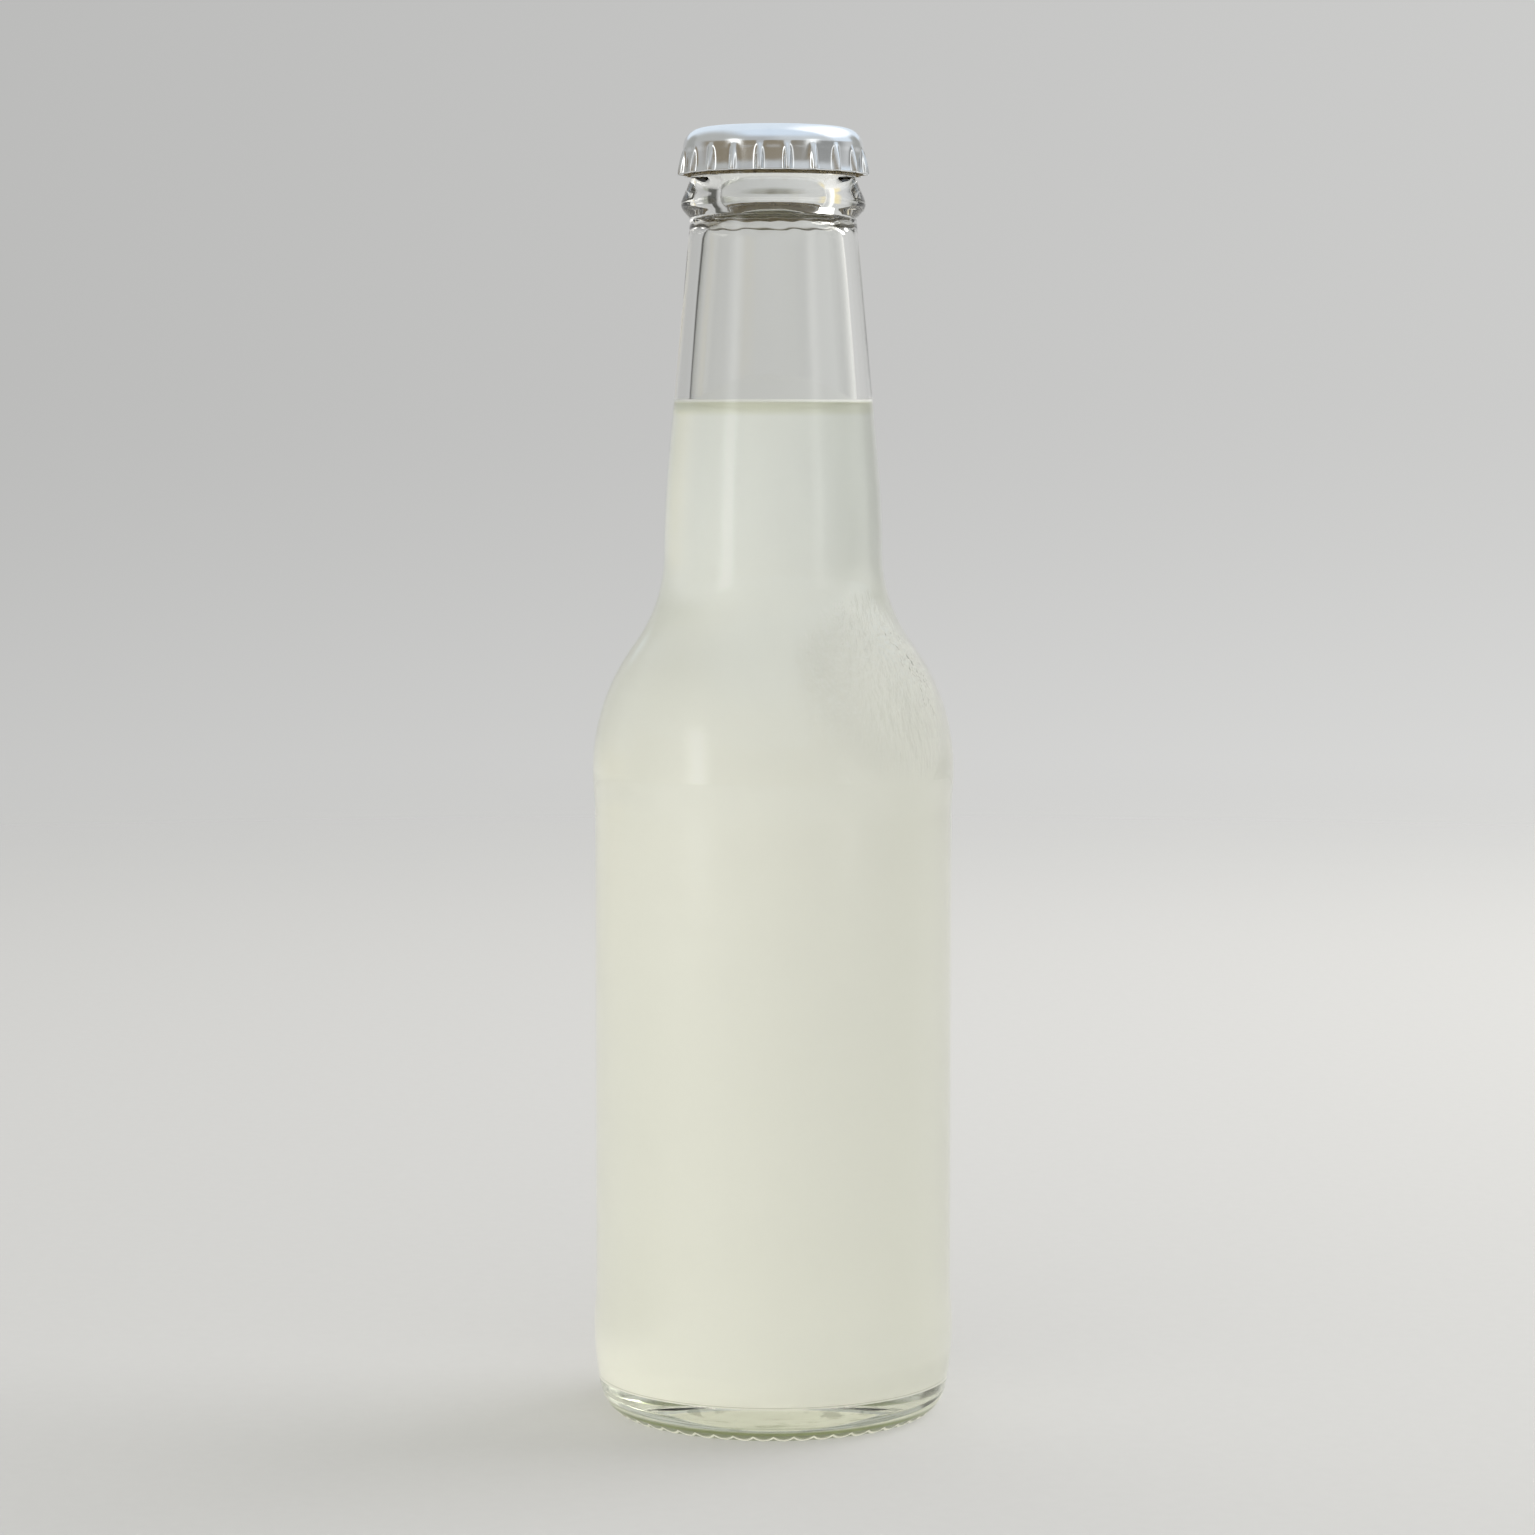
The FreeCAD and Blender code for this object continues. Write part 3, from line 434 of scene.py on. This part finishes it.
def glass_colour(tree, place, level):
    """Clear glass, with the heel's green, grey mottle, green streaks, lines, the rim's green
    deepened by painted contact shade, and crescents with painted glints.
    """
    colour = paint(tree, CLEAR_GLASS, HEEL_GREEN, spread(tree, level, *HEEL_FADE))
    # grey mottle and green streaks in two bands on the heel
    heel_mottle = spread(tree, texture(tree, place, 190, 3.0, 0.6, (1, 1, 2.2)), 0.52, 0.6)
    colour = paint(tree, colour, HEEL_MOTTLE_GREY, heel_mottle, band(tree, level, *HEEL_MOTTLE_BAND))
    heel_streak = spread(tree, texture(tree, place, 130, 4.0, 0.65, (1, 1, 22)), 0.53, 0.62)
    colour = paint(tree, colour, HEEL_STREAK_GREEN, heel_streak, band(tree, level, *HEEL_STREAK_BAND))
    colour = paint(tree, colour, HIGH_LINE_GREEN, band(tree, level, *HIGH_LINE))
    colour = paint(tree, colour, LOW_LINE_GREEN, band(tree, level, *LOW_LINE))
    # painted contact shade: the glass much darker green towards the floor
    colour = paint(tree, colour, RIM_GREEN_AND_SHADE, spread(tree, level, *RIM_FADE))
    # painted glints on the crescents' crests and painted shade in the sunk crescents, at the foot
    return paint(tree, colour, knurl_glint_and_shade(tree, place, level), spread(tree, level, *FOOT_FADE))


def glass_material():
    material, tree, shader, place = new_material("bottle_glass")
    level = add(tree, "ShaderNodeSeparateXYZ", {0: place}).outputs[2]
    put(shader, Base_Color=glass_colour(tree, place, level), Roughness=0.0, IOR=1.5)
    put(shader, Transmission_Weight=1.0)
    away = add(tree, "ShaderNodeVectorMath", {0: place, 1: STREAKS_AT}, operation="DISTANCE")
    patch = spread(tree, away.outputs["Value"], *STREAKS_REACH, 1.0, 0.0)
    streaks = maths(tree, "MULTIPLY", texture(tree, place, 900, 3.0, 0.6, (1, 1, 0.35)), patch)
    streaks = maths(tree, "MULTIPLY", streaks, 0.004)
    slow = maths(tree, "MULTIPLY", texture(tree, place, 60, 2.0), 0.00004)
    put(shader, Normal=bump(tree, maths(tree, "ADD", streaks, slow), 1.0, 1.0))
    let_light_through(tree, shader, GLASS_SHADOW, GLASS_GLEAM)
    return material


# ------------------------------------------------------------------ liquid
# Heights in metres: where the body's look turns into the neck's, then near the bottom and the top.
BODY_TO_NECK, COLOUR_FADE, BOTTOM_CLEARS = (0.1, 0.145), (0.085, 0.15), (0.006, 0.03)
BOTTOM_MILK, BOTTOM_EDGE = (0.014, 0.006), (0.009, 0.017)
NEAR_TOP, BRIM = (0.1543, 0.1554), (0.1566, 0.15672)
DEEP, SHALLOW, CLOUD = (0.99, 0.993, 0.955, 1), (0.97, 0.995, 1.0, 1), (0.94, 0.935, 0.87, 1)
# near the top, painted shade: the darker, greener band under the meniscus; at the brim, a painted
# highlight: the pale line where the drink meets the glass
TOP_PAINTED_SHADE, BRIM_PAINTED_HIGHLIGHT = (0.87, 0.89, 0.81, 1), (0.84, 0.845, 0.83, 1)
DRINK_SHADOW = (1, 1, 0.95, 1)


def drink_material():
    """A cloudy drink: clear and milky shaders mixed, clearer at the edges, where it is thin."""
    material, tree, shader, place = new_material("drink")
    level = add(tree, "ShaderNodeSeparateXYZ", {0: place}).outputs[2]
    colour = paint(tree, DEEP, SHALLOW, spread(tree, level, *COLOUR_FADE))
    colour = paint(tree, colour, CLOUD, maths(tree, "MULTIPLY", texture(tree, place, 45, 3.0), 0.12))
    # painted shade for the band just under the meniscus
    colour = paint(tree, colour, TOP_PAINTED_SHADE, spread(tree, level, *NEAR_TOP))
    # painted highlight: the pale line where the drink meets the glass
    brim_highlight = spread(tree, level, *BRIM)
    colour = paint(tree, colour, BRIM_PAINTED_HIGHLIGHT, brim_highlight)
    put(shader, Base_Color=colour, Roughness=0.28, IOR=1.34, Specular_IOR_Level=0.1)

    aslant = add(tree, "ShaderNodeLayerWeight", {"Blend": 0.5}).outputs["Facing"]
    aslant = maths(tree, "MULTIPLY", aslant, spread(tree, level, *BOTTOM_EDGE))
    clearness = spread(tree, level, *BOTTOM_CLEARS, 0.3, 0.56)
    clearness = maths(tree, "ADD", clearness, spread(tree, level, *BODY_TO_NECK, 0.0, 0.2))
    clearness = maths(tree, "ADD", clearness, spread(tree, aslant, 0.04, 0.2, 0.0, 0.42))
    # the painted highlight line lets no light through, so it shows pale
    under_brim = spread(tree, brim_highlight, 0.0, 1.0, 1.0, 0.0)
    clearness = maths(tree, "MULTIPLY", maths(tree, "MINIMUM", clearness, 1.0), under_brim)
    put(shader, Transmission_Weight=clearness)

    milkiness = spread(tree, level, *BODY_TO_NECK, 0.54, 0.42)
    milkiness = maths(tree, "ADD", milkiness, spread(tree, level, *BOTTOM_MILK, 0.0, 0.12))
    milkiness = maths(tree, "MULTIPLY", milkiness, spread(tree, aslant, 0.03, 0.26, 1.0, 0.6))
    milk = add(tree, "ShaderNodeBsdfTranslucent", {"Color": colour})
    let_light_through(tree, mix_in(tree, milkiness, shader, milk), DRINK_SHADOW)
    return material


# ------------------------------------------------------------------ steel and liner
STEEL_DARK, STEEL_LIGHT = (0.80, 0.83, 0.86, 1), (0.90, 0.92, 0.94, 1)
# the inside's lacquer, dark enough to also be painted shade for the cap's shaded inside
LACQUER_AND_SHADE = (0.24, 0.19, 0.11, 1)
LINER_DARK, LINER_LIGHT = (0.17, 0.155, 0.095, 1), (0.22, 0.205, 0.13, 1)


def cap_material():
    """Bright steel, lacquered brown on the faces that look in towards the axis; the dark brown is
    also painted shade for the cap's shaded inside.
    """
    material, tree, shader, place = new_material("cap_steel")
    mottle = texture(tree, place, 350, 4.0, 0.6)
    facing = add(tree, "ShaderNodeNewGeometry").outputs["Normal"]
    outward = add(tree, "ShaderNodeVectorMath", {0: place, 1: (1, 1, 0)}, operation="MULTIPLY")
    outward = add(tree, "ShaderNodeVectorMath", {0: outward.outputs[0]}, operation="NORMALIZE")
    turned = {0: facing, 1: outward.outputs[0]}
    outwards = add(tree, "ShaderNodeVectorMath", turned, operation="DOT_PRODUCT").outputs["Value"]
    # lacquer and painted shade: the inward faces turn dark brown and matt
    lacquer_and_shade = spread(tree, outwards, -0.1, -0.4)
    colour = paint(tree, blend_colour(tree, mottle, STEEL_DARK, STEEL_LIGHT), LACQUER_AND_SHADE, lacquer_and_shade)
    rough = spread(tree, mottle, 0.3, 0.7, 0.10, 0.17)
    rough = maths(tree, "ADD", rough, maths(tree, "MULTIPLY", lacquer_and_shade, 0.3))
    put(shader, Base_Color=colour, Metallic=maths(tree, "SUBTRACT", 1.0, lacquer_and_shade), Roughness=rough)
    grain = texture(tree, place, 1500, 2.0, 0.5, (1, 1, 0.3))
    put(shader, Normal=bump(tree, grain, 0.15, 0.00004))
    return material


def liner_material():
    material, tree, shader, place = new_material("cap_liner")
    fleck = texture(tree, place, 800, 3.0)
    put(shader, Base_Color=blend_colour(tree, fleck, LINER_DARK, LINER_LIGHT), Roughness=0.6)
    return material


glass, liquid, steel, liner = glass_material(), drink_material(), cap_material(), liner_material()

add_mesh(
    "glass", *lathe(glass_rows, glass_counts, glass_vertex), glass, "bottle_glass", ["bottle_glass"]
)

# ------------------------------------------------------------------ drink
# The bore's own points, moved a little into the glass, then the wet rim, the curved edge and the
# flat top.
flat = bore_root.x - (FILL_Z - bore_bend.y) * math.tan(taper) - MENISCUS_W
contact_z = FILL_Z + MENISCUS - math.sqrt(MENISCUS ** 2 - MENISCUS_W ** 2) + WET_RIM
edge = v2(bore_root.x - (contact_z - bore_bend.y) * math.tan(taper), contact_z)
drink_rows = []
points = [p for p in inside.points if p.y < contact_z - RIM_CLEAR]
for i, p in enumerate(points):
    along = points[min(i + 1, len(points) - 1)] - points[max(i - 1, 0)]
    normal = v2(along.y, -along.x).normalized()
    drink_rows.append(p + normal * INTO_WALL if p.x > ON_AXIS else v2(0, p.y - INTO_WALL))
meniscus_axis = v2(flat, FILL_Z + MENISCUS)
surface = Path(meniscus_axis + (edge - meniscus_axis).normalized() * MENISCUS)
surface.arc(meniscus_axis, v2(flat, FILL_Z), 8.0).line(v2(0, FILL_Z), 2.0)
drink_rows += [edge + v2(INTO_WALL, 0), edge] + surface.points[1:]
drink_counts = [1 if p.x < ON_AXIS else COARSE for p in drink_rows]
add_mesh(
    "drink_fill",
    *lathe(drink_rows, drink_counts, lambda p, a: (p.x * math.cos(a), p.x * math.sin(a), p.y)),
    liquid, "drink", ["drink"]
)

# ------------------------------------------------------------------ crown cap
STEEL, CAP_H, CAP_CORNER, BULGE, FLARE, FLUTE_DEPTH = 0.24, 7.1, 3.0, 0.31, 0.42, 0.8
FLUTES, FLUTE_RUN_IN, FLUTE_SINK, FLARE_START, PER_FLUTE = 21, 0.3, 0.12, 0.45, 32
LINER_ROOM, CAP_CLEAR, RIDGE_HALF = 0.8, 0.05, 0.46
CAP_TOP = LIP_Z + LINER_ROOM + STEEL
VALLEY = BEAD_R + CAP_CLEAR + STEEL
CORNER_X = VALLEY + BULGE - CAP_CORNER
CORNER_Z = CAP_TOP - CAP_CORNER
SKIRT = CORNER_Z - (CAP_TOP - CAP_H)
CROWN_R = CORNER_X + CAP_CORNER


def flute_bottom(share):
    """Radius of a flute's bottom, at a share of the way down the skirt."""
    sunk = min(1.0, share / FLUTE_RUN_IN)
    valley = CROWN_R - FLUTE_SINK * sunk ** 2 * (3 - 2 * sunk)
    turned_out = max(0.0, (share - FLARE_START) / (1 - FLARE_START)) ** 2
    return valley + (FLARE - BULGE + FLUTE_SINK) * turned_out


def flute_top(share):
    """Radius of a ridge between flutes, at a share of the way down the skirt."""
    rim = VALLEY + FLARE + FLUTE_DEPTH
    return rim - (rim - CROWN_R) * max(0.0, 1 - share) ** 1.5


def fluted(bottom, crest, z, inset, angle):
    """A place on the crimped skirt: flat flute bottoms, round ridges about 2 * RIDGE_HALF wide."""
    phase = FLUTES * (angle + math.pi / 2) / 2 - math.pi / 2
    ratio = math.sin(phase) * 2 / FLUTES * CROWN_R / RIDGE_HALF
    swell = 1 / (1 + ratio ** 4)
    reach = bottom + (crest - bottom) * swell
    steepness = 4 * ratio ** 3 * swell ** 2 * math.cos(phase) * CROWN_R / RIDGE_HALF
    out = v2(reach, (crest - bottom) * steepness).normalized()
    x, y = reach - out.x * inset, -out.y * inset
    return x * math.cos(angle) - y * math.sin(angle), x * math.sin(angle) + y * math.cos(angle), z


def cap_vertex(row, angle):
    kind, value, inset = row
    if kind == "flat":
        return value * math.cos(angle), value * math.sin(angle), CAP_TOP - inset
    if kind == "corner":
        turn = math.radians(value)
        reach = CORNER_X + (CAP_CORNER - inset) * math.sin(turn)
        z = CORNER_Z + (CAP_CORNER - inset) * math.cos(turn)
        return fluted(reach, reach, z, 0.0, angle)
    drop = min(1.0, value)
    return fluted(flute_bottom(drop), flute_top(drop), CORNER_Z - SKIRT * value, inset, angle)


def cap_side(inset):
    """Rows of one face of the sheet, from the middle of the crown to the skirt's rim."""
    face = [("flat", r, inset) for r in (0, 2, 4, 6, 8, 9.5)]
    face += [("corner", degrees, inset) for degrees in range(0, 88, 6)]
    return face + [("skirt", k / 22, inset) for k in range(23)]


cap_rows = cap_side(0.0) + cap_side(STEEL)[::-1]
cap_counts = [1 if row[0] == "flat" and row[1] == 0 else FLUTES * PER_FLUTE for row in cap_rows]
vertices, faces = lathe(cap_rows, cap_counts, cap_vertex)
add_mesh("cap", vertices, [f[::-1] for f in faces], steel, "cap_steel", ["crown_cap"])

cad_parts["cap_liner"].data.materials[0] = liner

# ------------------------------------------------------------------ floor
FLOOR_RADIUS, FLOOR_SIDES, FLOOR_FADE = 1.6, 48, (0.55, 1.4)
FLOOR_DARK, FLOOR_LIGHT = (0.545, 0.547, 0.55, 1), (0.565, 0.567, 0.57, 1)
floor_mesh = bpy.data.meshes.new("floor")
turns = [2 * math.pi * k / FLOOR_SIDES for k in range(FLOOR_SIDES)]
ring = [(FLOOR_RADIUS * math.cos(turn), FLOOR_RADIUS * math.sin(turn), 0) for turn in turns]
floor_mesh.from_pydata(ring, [], [tuple(range(FLOOR_SIDES))])
floor = bpy.data.objects.new("floor", floor_mesh)
bpy.context.scene.collection.objects.link(floor)


def floor_material():
    """A matt grey floor that fades out into the studio."""
    material, tree, shader, place = new_material("floor")
    speck = texture(tree, place, 400, 2.0)
    put(shader, Base_Color=blend_colour(tree, speck, FLOOR_DARK, FLOOR_LIGHT), Roughness=0.9)
    put(shader, Specular_IOR_Level=0.0)
    reach = add(tree, "ShaderNodeVectorMath", {0: place}, operation="LENGTH").outputs["Value"]
    clear = add(tree, "ShaderNodeBsdfTransparent")
    mix = mix_in(tree, spread(tree, reach, *FLOOR_FADE), shader, clear)
    tree.links.new(mix.outputs[0], tree.nodes["Material Output"].inputs["Surface"])
    return material


floor_mesh.materials.append(floor_material())


# ------------------------------------------------------------------ studio
# The world's colour by direction: across is to the right, along is away from the camera, up is up.
# Each spread gives the two ends of a card's soft edge.
SWEEP_LOW, SWEEP_HIGH = (0.655, 0.655, 0.645, 1), (0.552, 0.552, 0.545, 1)
WARM_CARD, WHITE_CARD, GREY_CARD, BLACK_CARD = (
    (0.92, 0.80, 0.50, 1), (1.2, 1.18, 1.1, 1), (0.34, 0.35, 0.31, 1), (0.08, 0.08, 0.07, 1)
)
NECK_WHITE, NECK_BLACK = (1.2, 1.19, 1.14, 1), (0.06, 0.06, 0.05, 1)
ROOM_CEILING = (0.22, 0.205, 0.16, 1)
HIGH_LEFT, HIGH_RIGHT, OVERHEAD, HIGH_REAR = (
    (0.47, 0.475, 0.475, 1), (0.62, 0.64, 0.65, 1), (0.74, 0.83, 0.93, 1), (0.80, 0.88, 0.96, 1)
)
GLOW, STRIP_LIGHT, WING_GREY = (1.5, 1.52, 1.55, 1), (2.1, 2.1, 2.05, 1), (0.48, 0.48, 0.46, 1)
FRONT_LEFT, FRONT_RIGHT = (0.26, 0.22, 0.16, 1), (0.31, 0.31, 0.30, 1)
REAR_GREY = (0.38, 0.38, 0.36, 1)
SOFT_LEFT, SOFT_RIGHT = (0.96, 0.945, 0.89, 1), (0.78, 0.79, 0.80, 1)


def seen_sweep(tree, across, up):
    """The grey backdrop, a little lighter to the right and towards the floor."""
    sweep = blend_colour(tree, spread(tree, up, -0.12, 0.02), SWEEP_LOW, SWEEP_HIGH)
    side = maths(tree, "MINIMUM", maths(tree, "MULTIPLY", across, 0.5), 0.1)
    side = maths(tree, "ADD", maths(tree, "MAXIMUM", side, -0.1), 1.0)
    return blend_colour(tree, 1.0, sweep, side, "MULTIPLY")


def seen_through_glass(tree, sweep, sides, across, up):
    """Cards that bent rays meet. Rays that rise, as in the empty neck, meet narrow ones.

    Known fault: seen from the left rear and above, the empty neck looks cream, most likely
    because the warm card shows through its clear glass.
    """
    room = paint(tree, sweep, WARM_CARD, spread(tree, across, 0.4, 0.66))
    room = paint(tree, room, WHITE_CARD, spread(tree, across, 0.73, 0.79))
    room = paint(tree, room, GREY_CARD, spread(tree, across, -0.1, -0.5))
    room = paint(tree, room, BLACK_CARD, spread(tree, across, -0.56, -0.64))
    aloft = paint(tree, sweep, NECK_WHITE, spread(tree, across, 0.76, 0.82))
    aloft = paint(tree, aloft, NECK_BLACK, spread(tree, across, -0.72, -0.77))
    room = paint(tree, room, aloft, spread(tree, up, -0.03, 0.02))
    room = paint(tree, room, sweep, spread(tree, sides, 0.85, 0.93))
    return paint(tree, room, ROOM_CEILING, spread(tree, up, 0.35, 0.8))


def seen_mirrored(tree, sweep, sides, across, along, up):
    """What glass and steel mirror: overhead light, a glow, a left wing, and cards round them."""
    high = spread(tree, up, 0.20, 0.28)
    behind = spread(tree, along, -0.25, 0.05)
    upper = blend_colour(tree, spread(tree, across, -0.3, 0.4), HIGH_LEFT, HIGH_RIGHT)
    mirror = paint(tree, sweep, upper, high)
    mirror = paint(tree, mirror, OVERHEAD, spread(tree, up, 0.45, 0.8))
    mirror = paint(tree, mirror, HIGH_REAR, high, behind)
    glow = spread(tree, across, 0.05, 0.5), spread(tree, up, 0.38, 0.62)
    mirror = paint(tree, mirror, GLOW, *glow, behind)
    wing = spread(tree, across, -0.4, -0.8), spread(tree, up, 0.12, 0.25)
    mirror = paint(tree, mirror, WING_GREY, *wing)
    front = blend_colour(tree, spread(tree, across, 0.2, 0.9), FRONT_LEFT, FRONT_RIGHT)
    low = spread(tree, up, 0.28, 0.20), spread(tree, along, 0.35, 0.0)
    mirror = paint(tree, mirror, front, *low)
    off_strip = maths(tree, "ABSOLUTE", maths(tree, "ADD", sides, -0.75))
    strip = spread(tree, off_strip, 0.15, 0.0), spread(tree, along, -0.3, -0.5)
    strip += spread(tree, up, 0.42, 0.3), spread(tree, across, 0.3, -0.3, 0.5, 1.0)
    mirror = paint(tree, mirror, STRIP_LIGHT, *strip)
    rear = spread(tree, sides, 0.45, 0.6), spread(tree, along, 0.45, 0.6)
    rear += spread(tree, up, -0.06, 0.04), spread(tree, up, 0.5, 0.35)
    return paint(tree, mirror, REAR_GREY, *rear)


def seen_softly(tree, across, along):
    """What lights matt surfaces: warm from the left, more from the front and the rear."""
    soft = blend_colour(tree, spread(tree, across, -0.8, 0.8), SOFT_LEFT, SOFT_RIGHT)
    squared = maths(tree, "MULTIPLY", along, along)
    lengthways = maths(tree, "ADD", maths(tree, "MULTIPLY", squared, 1.6), 0.56)
    return blend_colour(tree, 1.0, soft, lengthways, "MULTIPLY")


def build_world():
    world = bpy.data.worlds.new("world")
    bpy.context.scene.world = world
    world.use_nodes = True
    tree = world.node_tree
    path = add(tree, "ShaderNodeLightPath").outputs
    way = add(tree, "ShaderNodeTexCoord").outputs["Generated"]
    across, along, up = add(tree, "ShaderNodeSeparateXYZ", {0: way}).outputs
    sides = maths(tree, "ABSOLUTE", across)
    sweep = seen_sweep(tree, across, up)
    colour = paint(tree, seen_softly(tree, across, along), sweep, path["Is Camera Ray"])
    mirror = seen_mirrored(tree, sweep, sides, across, along, up)
    colour = paint(tree, colour, mirror, path["Is Glossy Ray"])
    room = seen_through_glass(tree, sweep, sides, across, up)
    colour = paint(tree, colour, room, path["Is Transmission Ray"])
    put(tree.nodes["Background"], Color=colour, Strength=1.0)


build_world()

key_lamp = bpy.data.lights.new("key", "AREA")
key_lamp.shape = "RECTANGLE"
key_lamp.size, key_lamp.size_y = 1.0, 1.0
key_lamp.energy = 12
key_lamp.color = (1, 0.975, 0.92)
key_place, key_target = Vector((0.87, 0.42, 0.9)), Vector((0, 0, 0.1))
key = bpy.data.objects.new("key", key_lamp)
key.location = key_place
key.rotation_euler = (key_target - key_place).to_track_quat("-Z", "Y").to_euler()
key.visible_glossy = False
bpy.context.scene.collection.objects.link(key)

# ------------------------------------------------------------------ camera, in metres, and render
camera_data = bpy.data.cameras.new("camera")
camera = bpy.data.objects.new("camera", camera_data)
bpy.context.scene.collection.objects.link(camera)
camera.location = (-0.0009, -0.6443, 0.1498)
camera.rotation_euler = (math.radians(90 - 3.76), 0, 0)
camera_data.lens = 97.64
camera_data.sensor_width = 36
camera_data.shift_y = -0.03
camera_data.clip_start = 0.01
bpy.context.scene.camera = camera

scene = bpy.context.scene
scene.view_settings.view_transform = "Standard"
scene.cycles.max_bounces = 14
scene.cycles.transmission_bounces = 14
scene.cycles.glossy_bounces = 6
scene.cycles.diffuse_bounces = 5
scene.cycles.transparent_max_bounces = 20
